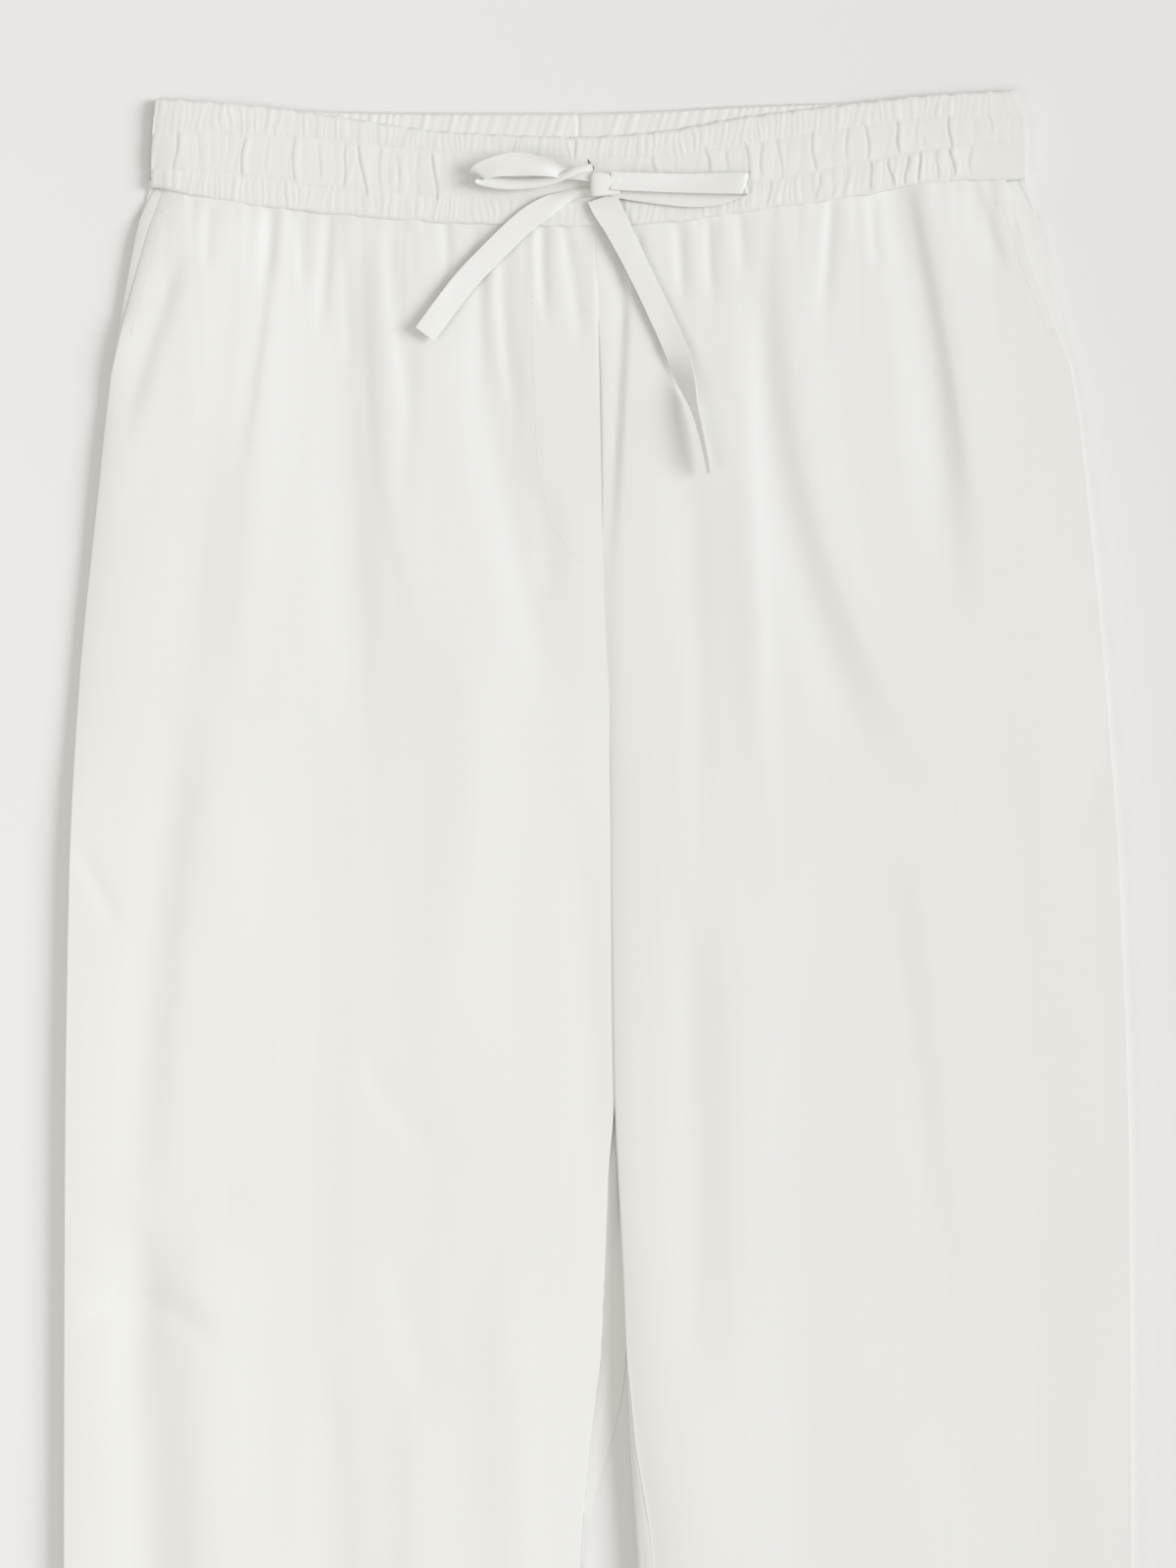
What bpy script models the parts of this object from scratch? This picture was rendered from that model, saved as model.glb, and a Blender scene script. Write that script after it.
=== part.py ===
"""Linen drawstring trousers, laid flat on their back with the front panels up.

Each cut piece is its own solid: two backs, two fronts, two pocket facings, a
back and a front waistband, and the drawstring tied in a bow. The waist points
to +Y, the wearer's right leg lies at -X, and the cloth rests on the plane
Z = 0. Tables are in millimetres, with "down" measured along -Y from the
highest point of the waistband.
"""

import math

import bmesh
import bpy
from mathutils import Vector

MM = 0.001

# Driving dimensions, in millimetres.
LENGTH = 1036.0          # highest point of the waistband to the hem
WALL = 1.5               # wall of the panels
FACING_WALL = 1.0        # wall of the pocket facings
BAND_WALL = 3.0          # gathered waistband over its elastic
GAP = 0.3                # clearance between neighbouring pieces
CHANNEL_BULGE = 0.6      # how far an elastic channel rises over its stitching
TAPE_WALL = 1.0
FACING_REACH = 30.0      # how far a facing runs in under the front
FACING_DOWN = 150.0      # lower end of the facings
FACING_MARGIN = 15.0     # the front stays high this far past a facing
EDGE_ROLL = 9.0          # width over which a front comes down to its side seam

BACK_TOP = WALL
FRONT_LOW = BACK_TOP + GAP                       # where a front lies on its back
FRONT_BASE = FRONT_LOW + FACING_WALL + GAP       # usual underside of a front
BAND_LOW = BAND_WALL + GAP                       # underside of the front band
KNOT_CENTRE = (2.2, 48.6, 11.0)                  # x, down, z
KNOT_RADII = (4.2, 6.4, 3.4)

COLOURS = {
    "cloth": (0.83, 0.83, 0.80, 1.0),
    "band": (0.82, 0.82, 0.79, 1.0),
    "tape": (0.85, 0.85, 0.82, 1.0),
}

# Side seams: down, the x of the left edge and of the right edge.
SIDE_COLUMNS = ("down", "left", "right")
SIDES = (
    (44, -228.0, 218.0),
    (67, -234.5, 225.0),
    (104, -241.5, 234.0),
    (154, -249.5, 244.0),
    (204, -254.5, 249.5),
    (304, -264.5, 259.0),
    (404, -269.5, 266.0),
    (554, -271.5, 271.0),
    (754, -272.0, 272.0),
    (1036, -272.0, 272.0),
)

# Front rise and inseams: down, the inner x of the left leg, of the right
# leg's back, and of its front, which is drawn back from the back's edge.
INNER_COLUMNS = ("down", "left", "right_back", "right_front")
INNERS = (
    (44, -2.6, -2.3, -2.3),
    (150, -0.2, 0.1, 0.1),
    (270, 2.4, 2.7, 2.7),
    (320, 4.5, 5.5, 5.5),
    (527, 6.0, 9.0, 9.0),
    (579, 4.0, 12.0, 12.0),
    (645, 1.4, 14.6, 15.2),
    (694, -5.0, 16.6, 19.8),
    (754, -9.5, 20.5, 29.0),
    (1036, -20.0, 29.0, 38.0),
)

# Waistband: x, then how far down the back band's top edge, the front band's
# top edge and the waist seam lie.
BAND_COLUMNS = ("x", "back_top", "front_top", "seam")
BAND = (
    (-228.0, 4.0, 4.0, 49.0),
    (-180.0, 7.0, 7.5, 58.0),
    (-140.0, 10.0, 12.5, 62.5),
    (-75.0, 11.0, 21.5, 67.5),
    (-10.0, 11.0, 24.0, 69.5),
    (45.0, 9.0, 19.5, 66.5),
    (60.0, 8.0, 16.0, 64.0),
    (115.0, 6.0, 8.5, 56.5),
    (137.0, 5.5, 6.0, 53.0),
    (170.0, 2.5, 2.5, 47.0),
    (218.0, 0.0, 0.0, 45.0),
)
BAND_CHANNELS = (0.0, 0.14, 0.28, 0.50, 0.72, 0.86, 1.0)  # edges, crests, stitch rows

# Slanted pocket mouths: down, and how far in from each side seam they run.
POCKET_COLUMNS = ("down", "left", "right")
POCKETS = (
    (44, 8.0, 10.5),
    (80, 5.5, 10.0),
    (104, 3.5, 7.0),
    (128, 1.2, 2.0),
    (150, 0.0, 0.0),
    (1036, 0.0, 0.0),
)

# Largest folds of the fronts: the line through three points, the reach to
# each side of it, and the height, below zero for a trough.
FOLD_COLUMNS = ("x_top", "down_top", "x_mid", "down_mid", "x_end", "down_end", "reach", "height")
FOLDS = (
    (-202.0, 66, -229.0, 175, -249.0, 300, 20.0, 1.5),
    (-186.0, 74, -192.0, 180, -212.0, 300, 15.0, -0.8),
    (-167.0, 72, -174.0, 164, -184.0, 300, 16.0, 0.9),
    (-133.0, 68, -136.0, 200, -128.0, 400, 22.0, -1.2),
    (-108.0, 95, -87.0, 210, -62.0, 300, 18.0, 1.2),
    (-64.0, 290, -70.0, 400, -86.0, 540, 22.0, 1.1),
    (-50.0, 150, -27.0, 275, -8.0, 430, 16.0, -1.0),
    (-262.0, 380, -244.0, 490, -234.0, 680, 18.0, -1.2),
    (-234.0, 640, -231.0, 800, -236.0, 1000, 20.0, -1.1),
    (-199.0, 350, -198.0, 560, -194.0, 1036, 32.0, 1.8),
    (-145.0, 440, -142.0, 560, -140.0, 680, 20.0, -0.6),
    (-52.0, 640, -42.0, 720, -44.0, 860, 20.0, 0.9),
    (-120.0, 640, -130.0, 820, -126.0, 980, 26.0, 0.8),
    (15.0, 72, 12.0, 130, 6.0, 250, 9.0, -0.8),
    (34.0, 90, 42.0, 194, 46.0, 280, 12.0, -0.6),
    (60.0, 180, 70.0, 354, 76.0, 540, 22.0, 1.0),
    (82.0, 66, 91.0, 160, 99.0, 260, 14.0, -1.2),
    (97.0, 240, 112.0, 320, 118.0, 420, 18.0, -1.1),
    (102.0, 66, 111.0, 154, 131.0, 250, 18.0, 1.4),
    (129.0, 240, 153.0, 300, 194.0, 380, 22.0, 1.4),
    (152.0, 60, 166.0, 160, 176.0, 270, 13.0, -1.2),
    (186.0, 66, 198.0, 164, 197.0, 285, 18.0, 1.3),
    (140.0, 410, 155.0, 500, 160.0, 620, 16.0, -0.6),
    (176.0, 400, 184.0, 530, 196.0, 700, 24.0, 0.9),
    (46.0, 600, 50.0, 760, 52.0, 900, 18.0, 0.8),
    (150.0, 640, 160.0, 820, 164.0, 1000, 28.0, 0.9),
)

# Drawstring routes: x, down, z, the heading and the tilt in degrees of the
# tape's width, and the width that is left where the tape is pinched or folded.
TAPE_COLUMNS = ("x", "down", "z", "heading", "tilt", "width")
LOOP_LEFT = (
    (-2.6, 40.6, 13.4, -115, 0, 4.0),
    (-12.5, 42.6, 14.4, -110, 0, 4.4),
    (-25.0, 46.4, 12.0, -98, 20, 5.0),
    (-40.0, 47.6, 10.8, -90, 32, 7.0),
    (-52.0, 46.8, 11.0, -80, 28, 8.0),
    (-60.5, 44.0, 12.4, -62, 0, 9.0),
    (-53.5, 40.6, 14.0, -78, -8, 10.0),
    (-40.0, 39.0, 14.6, -92, -8, 12.0),
    (-27.0, 40.6, 14.0, -104, -6, 9.0),
    (-16.0, 43.6, 11.2, -102, 0, 5.4),
    (-2.6, 45.2, 10.2, -92, 0, 4.4),
)
LOOP_RIGHT = (
    (6.8, 47.3, 12.1, -90, 0, 9.0),
    (22.0, 47.9, 11.3, -90, 4, 9.4),
    (42.0, 48.5, 10.1, -90, 12, 10.0),
    (60.0, 48.4, 10.3, -90, 13, 11.0),
    (72.6, 48.4, 10.8, -90, 8, 11.0),
    (75.2, 48.9, 9.9, -90, 0, 11.0),
    (72.0, 49.6, 8.6, -82, 0, 11.0),
    (60.0, 53.2, 8.3, -77, 1, 12.0),
    (45.0, 54.0, 8.3, -92, 1, 12.0),
    (24.0, 52.6, 8.6, -97, 1, 10.0),
    (6.8, 50.8, 9.4, -94, 0, 8.0),
)
TAIL_LEFT = (
    (-2.6, 52.0, 8.6, -88, 0, 5.0),
    (-10.0, 52.6, 8.2, -80, 0, 5.0),
    (-18.0, 55.6, 8.1, -64, -2, 7.5),
    (-27.0, 60.6, 8.0, -54, -6, 11.0),
    (-38.0, 68.2, 7.5, -47, -8, 12.0),
    (-54.0, 83.5, 7.0, -43, -8, 12.0),
    (-69.5, 100.0, 7.2, -42, -8, 12.0),
    (-88.0, 125.0, 9.0, -39, -5, 12.0),
)
TAIL_RIGHT = (
    (2.4, 55.0, 7.8, 8, 0, 16.0),
    (4.8, 61.0, 8.8, 15, 0, 15.0),
    (10.4, 71.0, 8.6, 24, 0, 13.4),
    (20.5, 91.0, 7.4, 27, 0, 12.0),
    (32.5, 116.0, 7.0, 27, 2, 12.0),
    (39.5, 132.0, 7.6, 25, 8, 12.0),
    (44.5, 148.0, 9.4, 20, 32, 11.0),
    (48.0, 162.0, 11.4, 15, 62, 8.6),
    (52.0, 178.0, 12.8, 13, 76, 6.6),
    (56.0, 196.0, 13.4, 13, 78, 4.6),
)


def clear_scene():
    for old in list(bpy.data.objects):
        bpy.data.objects.remove(old, do_unlink=True)


def read(table, columns, key, value, at):
    """Read a table's value column at one place of its key column, on a smooth curve."""
    keys = [row[columns.index(key)] for row in table]
    values = [row[columns.index(value)] for row in table]
    if at <= keys[0]:
        return values[0]
    if at >= keys[-1]:
        return values[-1]
    low = max(i for i, place in enumerate(keys) if place <= at)
    slopes = [
        (values[i + 1] - values[i]) / (keys[i + 1] - keys[i]) for i in range(len(keys) - 1)
    ]

    def tangent(i):
        if i == 0 or i == len(slopes):
            return slopes[min(i, len(slopes) - 1)]
        before, after = slopes[i - 1], slopes[i]
        if before * after <= 0.0:
            return 0.0
        return 2.0 * before * after / (before + after)

    span = keys[low + 1] - keys[low]
    s = (at - keys[low]) / span
    return (
        (2 * s**3 - 3 * s**2 + 1) * values[low]
        + (s**3 - 2 * s**2 + s) * span * tangent(low)
        + (3 * s**2 - 2 * s**3) * values[low + 1]
        + (s**3 - s**2) * span * tangent(low + 1)
    )


def smoothstep(value):
    s = min(max(value, 0.0), 1.0)
    return s * s * (3.0 - 2.0 * s)


def place(x, down, z):
    """Turn a place in millimetres, measured down from the waist, into metres."""
    return Vector((x * MM, (LENGTH / 2.0 - down) * MM, z * MM))


def make_material(name, colour):
    material = bpy.data.materials.new(name)
    material.use_nodes = True
    shader = material.node_tree.nodes["Principled BSDF"]
    shader.inputs["Base Color"].default_value = colour
    shader.inputs["Roughness"].default_value = 0.9
    shader.inputs["Metallic"].default_value = 0.0
    return material


def add_object(name, mesh, collection, colour):
    """Put a mesh in the trousers' collection as one named piece with its own material."""
    piece = bpy.data.objects.new(name, mesh)
    piece.data.materials.append(make_material(name + "_linen", COLOURS[colour]))
    collection.objects.link(piece)
    piece.data.shade_smooth()
    return piece


def make_wall(name, rows, thickness, collection, colour):
    """Loft an open surface through rows of points and thicken it upwards."""
    surface = bmesh.new()
    grid = [[surface.verts.new(point) for point in row] for row in rows]
    for upper, lower in zip(grid, grid[1:]):
        for i in range(len(upper) - 1):
            surface.faces.new((upper[i], lower[i], lower[i + 1], upper[i + 1]))
    surface.normal_update()
    mesh = bpy.data.meshes.new(name)
    surface.to_mesh(mesh)
    surface.free()
    piece = add_object(name, mesh, collection, colour)
    shell = piece.modifiers.new("Wall", "SOLIDIFY")
    shell.thickness = thickness * MM
    shell.offset = 1.0
    shell.use_even_offset = True
    return piece


def fold_height(x, down):
    """Add up the folds that reach one place of a front."""
    total = 0.0
    for values in FOLDS:
        fold = dict(zip(FOLD_COLUMNS, values))
        line = (
            (fold["down_top"], fold["x_top"]),
            (fold["down_mid"], fold["x_mid"]),
            (fold["down_end"], fold["x_end"]),
        )
        centre = read(line, ("down", "x"), "down", "x", down)
        length = fold["down_end"] - fold["down_top"]
        inside = min(down - fold["down_top"], fold["down_end"] - down)
        if fold["down_end"] >= LENGTH:
            inside = down - fold["down_top"]
        strength = smoothstep(inside / (0.25 * length) + 0.35)
        across = (x - centre) / fold["reach"]
        total += fold["height"] * strength * math.exp(-2.0 * across * across)
    return total


def front_underside(x, down, to_side, to_inner):
    """Height of a front's underside, from its folds and how near its two edges are."""
    over_facing = smoothstep((FACING_REACH + 2.0 * FACING_MARGIN - to_side) / FACING_MARGIN)
    over_facing *= smoothstep((FACING_DOWN + 3.0 * FACING_MARGIN - down) / FACING_MARGIN)
    floor = FRONT_LOW + over_facing * (FRONT_BASE - FRONT_LOW)
    height = max(FRONT_BASE + fold_height(x, down), floor)
    at_side = smoothstep(to_side / EDGE_ROLL)
    at_inner = smoothstep(to_inner / EDGE_ROLL)
    height = floor + (height - floor) * at_side
    crotch = smoothstep((down - 250.0) / 80.0)
    seam_floor = FRONT_BASE + crotch * (FRONT_LOW - FRONT_BASE)
    return seam_floor + (height - seam_floor) * at_inner


def steps(count):
    return [i / count for i in range(count + 1)]


def edge_steps(count):
    """Steps across a panel from 0 to 1 that crowd towards both edges."""
    return [0.5 - 0.5 * math.cos(math.pi * s) * (0.55 + 0.45 * abs(math.cos(math.pi * s)))
            for s in steps(count)]


def panel_point(share, down_share, outer, inner, below):
    """Place in a panel, as x and down, from its shares across and down it."""
    top = below(outer(0.0) + share * (inner(0.0) - outer(0.0)))
    lead = down_share * (LENGTH - top)
    down = top + lead
    x = outer(down) + share * (inner(down) - outer(down))
    return x, down


def side_edge(side):
    def edge(down):
        return read(SIDES, SIDE_COLUMNS, "down", side, down)
    return edge


def inner_edge(column):
    def edge(down):
        return read(INNERS, INNER_COLUMNS, "down", column, down)
    return edge


def seam_line(gap):
    def below(x):
        return read(BAND, BAND_COLUMNS, "x", "seam", x) + gap
    return below


def make_back(side, collection):
    """Make one back, flat on the plane it rests on."""
    column = "left" if side == "left" else "right_back"
    rows = []
    for down_share in steps(20):
        row = []
        for share in steps(8):
            x, down = panel_point(
                share, down_share, side_edge(side), inner_edge(column), seam_line(GAP)
            )
            row.append(place(x, down, 0.0))
        rows.append(row if side == "left" else row[::-1])
    return make_wall("back_" + side, rows, WALL, collection, "cloth")


def make_front(side, collection):
    """Make one front, with its pocket mouth cut away and its folds."""
    column = "left" if side == "left" else "right_front"
    inward = 1.0 if side == "left" else -1.0
    side_seam = side_edge(side)
    rise = inner_edge(column)

    def mouth(down):
        return side_seam(down) + inward * read(POCKETS, POCKET_COLUMNS, "down", side, down)

    rows = []
    for s in steps(26):
        down_share = s * (0.55 + 0.45 * s)
        row = []
        for share in edge_steps(16):
            x, down = panel_point(share, down_share, mouth, rise, seam_line(GAP))
            z = front_underside(x, down, abs(x - side_seam(down)), abs(x - rise(down)))
            row.append(place(x, down, z))
        rows.append(row if side == "left" else row[::-1])
    return make_wall("front_" + side, rows, WALL, collection, "cloth")


def make_facing(side, collection):
    """Make the strip of cloth that shows outside a slanted pocket mouth."""
    inward = 1.0 if side == "left" else -1.0
    side_seam = side_edge(side)
    below = seam_line(GAP)
    rows = []
    for down_share in steps(8):
        row = []
        for share in steps(2):
            top = below(side_seam(0.0) + inward * share * FACING_REACH)
            down = top + down_share * (FACING_DOWN - top)
            x = side_seam(down) + inward * share * FACING_REACH
            row.append(place(x, down, FRONT_LOW))
        rows.append(row if side == "left" else row[::-1])
    return make_wall("pocket_facing_" + side, rows, FACING_WALL, collection, "cloth")


def make_band(name, top_column, low, bulge, collection):
    """Make one waistband with its three elastic channels."""
    left = BAND[0][0]
    right = BAND[-1][0]
    rows = []
    for i, share_down in enumerate(BAND_CHANNELS):
        crest = bulge if i % 2 else 0.0
        row = []
        for share in steps(30):
            x = left + share * (right - left)
            top = read(BAND, BAND_COLUMNS, "x", top_column, x)
            bottom = read(BAND, BAND_COLUMNS, "x", "seam", x)
            row.append(place(x, top + share_down * (bottom - top), low + crest))
        rows.append(row)
    return make_wall(name, rows, BAND_WALL, collection, "band")


def tape_route(rows, parts):
    """Smooth points, width directions and widths along a route of the drawstring."""
    table = [dict(zip(TAPE_COLUMNS, row)) for row in rows]
    knots = [place(row["x"], row["down"], row["z"]) for row in table]
    sides = []
    for row in table:
        heading = math.radians(row["heading"])
        tilt = math.radians(row["tilt"])
        sides.append(
            Vector(
                (
                    math.cos(heading) * math.cos(tilt),
                    math.sin(heading) * math.cos(tilt),
                    math.sin(tilt),
                )
            )
        )

    def spline(values, i, s):
        before = values[max(i - 1, 0)]
        start = values[i]
        end = values[i + 1]
        after = values[min(i + 2, len(values) - 1)]
        return 0.5 * (
            2.0 * start
            + (end - before) * s
            + (2.0 * before - 5.0 * start + 4.0 * end - after) * s * s
            + (3.0 * start - before - 3.0 * end + after) * s**3
        )

    breadths = [row["width"] for row in table]
    stations = []
    for i in range(len(knots) - 1):
        for s in steps(parts)[: parts + (i == len(knots) - 2)]:
            stations.append((spline(knots, i, s), spline(sides, i, s), spline(breadths, i, s)))
    return stations


def make_tape(name, rows, collection):
    """Make one stretch of the drawstring as a flat tape along its route."""
    stations = tape_route(rows, 4)
    left_side = []
    right_side = []
    for i, (point, side, breadth) in enumerate(stations):
        ahead = stations[min(i + 1, len(stations) - 1)][0]
        behind = stations[max(i - 1, 0)][0]
        along = (ahead - behind).normalized()
        side = (side - along * side.dot(along)).normalized()
        left_side.append(point - side * breadth * MM / 2.0)
        right_side.append(point + side * breadth * MM / 2.0)
    tape = make_wall(name, [left_side, right_side], TAPE_WALL, collection, "tape")
    tape.modifiers["Wall"].offset = 0.0
    return tape


def make_knot(collection):
    """Make the bow's knot as one flattened ball of tape."""
    ball = bmesh.new()
    bmesh.ops.create_uvsphere(ball, u_segments=16, v_segments=8, radius=1.0)
    bmesh.ops.scale(ball, vec=[radius * MM for radius in KNOT_RADII], verts=ball.verts)
    bmesh.ops.translate(ball, vec=place(*KNOT_CENTRE), verts=ball.verts)
    mesh = bpy.data.meshes.new("drawstring_knot")
    ball.to_mesh(mesh)
    ball.free()
    return add_object("drawstring_knot", mesh, collection, "tape")


def build():
    clear_scene()
    collection = bpy.data.collections.new("linen_drawstring_trousers")
    bpy.context.scene.collection.children.link(collection)
    for side in ("left", "right"):
        make_back(side, collection)
        make_facing(side, collection)
        make_front(side, collection)
    make_band("waistband_back", "back_top", 0.0, 0.0, collection)
    make_band("waistband_front", "front_top", BAND_LOW, CHANNEL_BULGE, collection)
    make_tape("drawstring_loop_left", LOOP_LEFT, collection)
    make_tape("drawstring_loop_right", LOOP_RIGHT, collection)
    make_tape("drawstring_tail_left", TAIL_LEFT, collection)
    make_tape("drawstring_tail_right", TAIL_RIGHT, collection)
    make_knot(collection)


build()
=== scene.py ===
"""Looks of the linen drawstring trousers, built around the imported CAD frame.

Every piece takes its outline from its CAD node. Tables are in millimetres, with
x across the trousers and "down" measured from the highest point of the
waistband towards the hems.
"""

import math
import random

import bpy
import numpy as np
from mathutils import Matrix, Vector
from mathutils.bvhtree import BVHTree


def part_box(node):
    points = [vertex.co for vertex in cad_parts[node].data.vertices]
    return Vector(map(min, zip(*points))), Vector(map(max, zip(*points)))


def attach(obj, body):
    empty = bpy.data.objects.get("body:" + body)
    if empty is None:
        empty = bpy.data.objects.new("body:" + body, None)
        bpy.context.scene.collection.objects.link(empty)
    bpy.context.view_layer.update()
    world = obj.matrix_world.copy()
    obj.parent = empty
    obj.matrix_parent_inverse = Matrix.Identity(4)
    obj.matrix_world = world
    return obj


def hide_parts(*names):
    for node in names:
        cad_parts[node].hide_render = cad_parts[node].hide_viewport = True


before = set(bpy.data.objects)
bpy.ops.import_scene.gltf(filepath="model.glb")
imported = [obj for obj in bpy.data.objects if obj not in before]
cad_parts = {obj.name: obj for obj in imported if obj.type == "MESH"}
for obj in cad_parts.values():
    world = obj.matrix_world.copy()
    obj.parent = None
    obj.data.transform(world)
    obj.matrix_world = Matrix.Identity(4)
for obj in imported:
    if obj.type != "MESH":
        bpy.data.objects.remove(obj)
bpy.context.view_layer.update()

MM = 0.001
BODY = "root"

# Sizes that the frame doesn't hold, in millimetres.
CLOTH = 0.6              # thickness of one layer of linen
TAPE = 0.5               # thickness of the drawstring
TAPE_WIDTH = 12.0
HEM_DEPTH = 25.0         # cloth turned up at each hem
TUCK = 4.0               # how far a panel's top runs in under its waistband
SEAM_LOW = 72.0          # down from here both edges of a panel are below the waist seam
PUFF = 3.0               # how far air lifts the fronts above the flat-pressed CAD
MOUTH_START, MOUTH_END = 56.0, 126.0  # how far down the pocket mouths begin and end
LEGS_PART = 500.0        # how far down the legs begin to come apart
INSEAM_SHOWS = 560.0     # down from here the right back shows beside the inseam
EDGE_COLUMNS = (0.0, 0.04, 0.08, 0.2, 0.5, 0.9, 1.5, 2.4, 3.8)  # grid lines close to a side
CAMERA_HEIGHT = 2.4      # metres above the cloth
VIEW_HEIGHT = 0.8        # metres of the floor that the picture's long side covers
VIEW_CENTRE = (-5.0, 354.0)  # x, down
KEY_AZIMUTH = 4.0        # degrees from the right towards the waist
KEY_ELEVATION = 30.0     # degrees above the floor

# How high the surfaces lie, read from the frame, in millimetres.
WAIST_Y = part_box("waistband_front")[1][1] / MM
HEM_DOWN = WAIST_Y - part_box("back_left")[0][1] / MM
BACK_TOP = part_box("back_left")[1][2] / MM
FACING_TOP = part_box("pocket_facing_left")[1][2] / MM
FRONT_TOP = FACING_TOP + BACK_TOP + 0.3
BAND_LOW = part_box("waistband_front")[0][2] / MM
BAND_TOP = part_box("waistband_front")[1][2] / MM
BACK_BAND_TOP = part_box("waistband_back")[1][2] / MM

# Folds of the fronts: a line through three places (x, down), how far the fold
# reaches to the two sides of it as seen with the waist at the top, and its height,
# negative for a trough. A short reach on one side gives a crisp crease there.
FOLD_COLUMNS = ("start", "middle", "end", "left", "right", "height")
FOLDS_LEFT = (
    # the ridge beside the pocket, the dent it drops into, the long slope beyond
    ((-222, 66), (-244, 150), (-256, 250), 10, 24, 0.8),
    ((-212, 78), (-230, 130), (-246, 188), 30, 9, -1.7),
    ((-184, 62), (-199, 200), (-217, 360), 20, 12, -0.4),
    ((-163, 66), (-174, 190), (-190, 350), 14, 20, 0.7),
    ((-164, 44), (-172, 120), (-186, 215), 10, 4, -0.7),
    ((-208, 310), (-225, 450), (-236, 610), 20, 18, -0.9),
    ((-192, 310), (-210, 450), (-219, 610), 18, 40, 1.0),
    # the broad valley down the middle of the thigh and its steeper far side
    ((-128, 62), (-126, 200), (-116, 380), 24, 14, -1.2),
    ((-112, 80), (-106, 200), (-78, 310), 9, 22, 0.5),
    ((-92, 92), (-97, 160), (-100, 225), 8, 7, -0.4),
    ((-60, 74), (-60, 110), (-57, 165), 7, 5, -0.8),
    ((-72, 270), (-66, 370), (-88, 520), 24, 26, 0.8),
    # the rise towards the front seam
    ((-66, 100), (-44, 215), (-18, 330), 18, 24, -1.5),
    ((-34, 200), (-25, 234), (-29, 262), 9, 13, -0.6),
    ((-12, 360), (-5, 470), (-2, 580), 18, 10, -0.5),
    # short gathers under the waistband
    ((-198, 57), (-199, 72), (-200, 96), 4, 5, -0.6),
    ((-167, 58), (-168, 76), (-170, 104), 4, 6, -0.6),
    ((-153, 60), (-152, 78), (-150, 108), 4, 6, -0.7),
    ((-136, 56), (-139, 90), (-142, 130), 5, 4, -0.8),
    ((-128, 80), (-128, 110), (-127, 150), 4, 7, -0.4),
    ((-122, 66), (-119, 130), (-112, 230), 5, 8, -0.4),
    ((-107, 62), (-103, 115), (-92, 190), 5, 8, -0.6),
    ((-96, 66), (-95, 80), (-94, 104), 3, 5, -0.3),
    ((-79, 64), (-77, 84), (-76, 120), 4, 5, -0.6),
    ((-62, 68), (-60, 86), (-58, 116), 4, 5, -0.5),
    ((-47, 76), (-48, 118), (-40, 180), 4, 8, -0.9),
    ((-28, 66), (-29, 88), (-26, 124), 3, 5, -0.9),
    ((-16, 70), (-13, 95), (-8, 140), 4, 6, -0.8),
    # the knee's dent beside the outer seam, and the creases that end in it
    ((-238, 580), (-230, 610), (-238, 660), 14, 12, -0.6),
    ((-266, 626), (-226, 620), (-188, 646), 9, 11, -1.2),
    ((-266, 386), (-254, 408), (-242, 432), 6, 7, -0.5),
    ((-240, 570), (-232, 700), (-222, 940), 20, 22, -1.6),
    ((-204, 570), (-200, 700), (-194, 940), 24, 36, 1.6),
    ((-146, 430), (-142, 550), (-140, 680), 20, 20, -0.5),
    # a shallow dent behind the knee, and the quiet folds below it
    ((-118, 488), (-102, 522), (-66, 556), 9, 12, -0.35),
    ((-104, 592), (-96, 630), (-80, 684), 12, 14, -0.4),
    ((-140, 640), (-134, 740), (-130, 920), 24, 14, -0.6),
    ((-96, 660), (-92, 770), (-90, 940), 12, 26, 0.6),
    ((-50, 600), (-42, 700), (-46, 840), 20, 20, 0.7),
)
FOLDS_RIGHT = (
    # the tuck beside the front seam, crisp on its right side
    ((15, 76), (12, 140), (5, 270), 10, 2.4, -1.2),
    ((5, 240), (3, 330), (3, 420), 7, 6, -0.4),
    ((34, 84), (42, 194), (48, 320), 14, 12, -0.5),
    # a long valley, and the ridge that runs down beside it
    ((50, 180), (52, 290), (54, 430), 10, 9, -0.4),
    ((46, 400), (49, 540), (50, 700), 14, 12, -0.6),
    ((66, 380), (70, 540), (72, 720), 12, 26, 0.5),
    ((74, 80), (78, 220), (88, 420), 16, 10, 0.9),
    # the fold that sweeps out over the hip
    ((83, 58), (97, 220), (158, 376), 18, 14, -1.2),
    ((99, 60), (112, 214), (182, 366), 12, 24, 1.0),
    ((145, 20), (168, 128), (184, 290), 20, 12, -2.0),
    ((155, 22), (177, 118), (196, 240), 6, 20, 0.8),
    ((149, 38), (153, 62), (160, 96), 10, 4, -0.6),
    ((41, 66), (42, 84), (44, 112), 4, 5, -0.9),
    ((57, 64), (57, 84), (59, 116), 4, 5, -0.9),
    ((72, 62), (73, 76), (74, 98), 3, 5, -0.5),
    ((120, 54), (117, 84), (113, 126), 4, 6, -0.6),
    ((140, 50), (141, 70), (143, 98), 4, 5, -0.5),
    ((191, 44), (199, 70), (210, 98), 12, 5, -0.8),
    # long quiet folds of the leg
    ((116, 400), (110, 470), (106, 580), 24, 24, -0.5),
    ((146, 385), (160, 500), (176, 630), 16, 14, -0.4),
    ((163, 380), (177, 500), (194, 650), 14, 30, 0.5),
    ((262, 300), (255, 350), (232, 392), 12, 14, -0.35),
    ((96, 620), (106, 760), (110, 960), 30, 30, -0.7),
    ((150, 640), (160, 800), (164, 1000), 28, 32, 0.8),
    ((215, 560), (222, 700), (224, 920), 26, 24, -0.6),
)
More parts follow.
